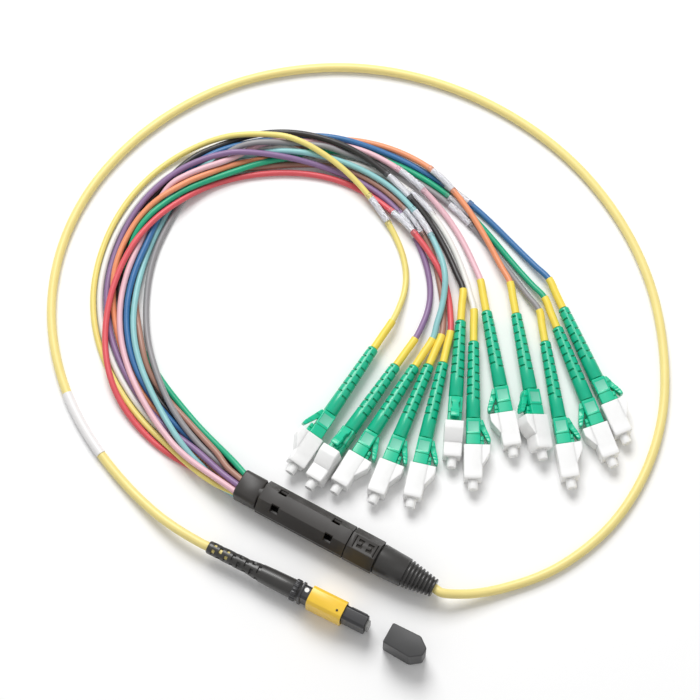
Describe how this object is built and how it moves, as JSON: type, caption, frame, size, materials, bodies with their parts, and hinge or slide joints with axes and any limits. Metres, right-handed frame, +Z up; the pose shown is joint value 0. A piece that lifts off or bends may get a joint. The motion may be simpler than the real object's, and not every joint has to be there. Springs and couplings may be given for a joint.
{
  "type": "fibre breakout cable",
  "caption": "Multi-fibre plug on a round trunk cord, a breakout housing with a ribbed strain relief, and a fan of thin legs ending in small connectors under dust caps.",
  "frame": {"origin": "centre of the flat underside of the breakout housing, on the floor that the cable lies on", "axes": "+X along the breakout housing from its legs towards its strain relief and trunk, +Z up from the floor, +Y to the side that the legs fan out on"},
  "size_m": [0.207, 0.1823, 0.011],
  "materials": {
    "housing_black": "moulded satin",
    "boot_black": "soft matt moulding",
    "plug_black": "moulded satin",
    "coupling_yellow": "moulded satin",
    "ferrule_grey": "ground face",
    "cap_black": "moulded matt",
    "jacket_trunk": "extruded satin",
    "connector_boot_green": "soft satin moulding",
    "connector_green": "moulded satin",
    "cap_white": "moulded matt",
    "jacket_yellow": "extruded satin",
    "jacket_violet": "extruded satin",
    "jacket_aqua": "extruded satin",
    "jacket_brown": "extruded satin",
    "jacket_red": "extruded satin",
    "jacket_black": "extruded satin",
    "jacket_white": "extruded satin",
    "jacket_rose": "extruded satin",
    "jacket_orange": "extruded satin",
    "jacket_slate": "extruded satin",
    "jacket_green": "extruded satin",
    "jacket_blue": "extruded satin"
  },
  "bodies": {
    "cable": {"breakout_lower_shell": "housing_black", "breakout_upper_shell": "housing_black", "breakout_collar": "housing_black", "breakout_leg_inlet": "housing_black", "breakout_strain_relief": "boot_black", "mpo_boot": "boot_black", "mpo_crimp_body": "plug_black", "mpo_plug_housing": "plug_black", "mpo_ferrule": "ferrule_grey", "mpo_dust_cap": "cap_black", "trunk_cable": "jacket_trunk", "leg_yellow": "jacket_yellow", "leg_violet": "jacket_violet", "leg_aqua": "jacket_aqua", "leg_brown": "jacket_brown", "leg_red": "jacket_red", "leg_black": "jacket_black", "leg_white": "jacket_white", "leg_rose": "jacket_rose", "leg_orange": "jacket_orange", "leg_slate": "jacket_slate", "leg_green": "jacket_green", "leg_blue": "jacket_blue", "lc_boot_01": "connector_boot_green", "lc_body_01": "connector_green", "lc_cap_01": "cap_white", "lc_boot_02": "connector_boot_green", "lc_body_02": "connector_green", "lc_cap_02": "cap_white", "lc_boot_03": "connector_boot_green", "lc_body_03": "connector_green", "lc_cap_03": "cap_white", "lc_boot_04": "connector_boot_green", "lc_body_04": "connector_green", "lc_cap_04": "cap_white", "lc_boot_05": "connector_boot_green", "lc_body_05": "connector_green", "lc_cap_05": "cap_white", "lc_boot_06": "connector_boot_green", "lc_body_06": "connector_green", "lc_cap_06": "cap_white", "lc_boot_07": "connector_boot_green", "lc_body_07": "connector_green", "lc_cap_07": "cap_white", "lc_boot_08": "connector_boot_green", "lc_body_08": "connector_green", "lc_cap_08": "cap_white", "lc_boot_09": "connector_boot_green", "lc_body_09": "connector_green", "lc_cap_09": "cap_white", "lc_boot_10": "connector_boot_green", "lc_body_10": "connector_green", "lc_cap_10": "cap_white", "lc_boot_11": "connector_boot_green", "lc_body_11": "connector_green", "lc_cap_11": "cap_white", "lc_boot_12": "connector_boot_green", "lc_body_12": "connector_green", "lc_cap_12": "cap_white"},
    "coupling": {"mpo_coupling_sleeve": "coupling_yellow"}
  },
  "joints": [
    {"name": "coupling_slide", "type": "slide", "parent": "cable", "child": "coupling", "axis": [-0.9994, -0.0349, 0], "range_m": [0, 0.0022], "stiffness_N_per_m": 800, "springref_m": -0.0015}
  ]
}
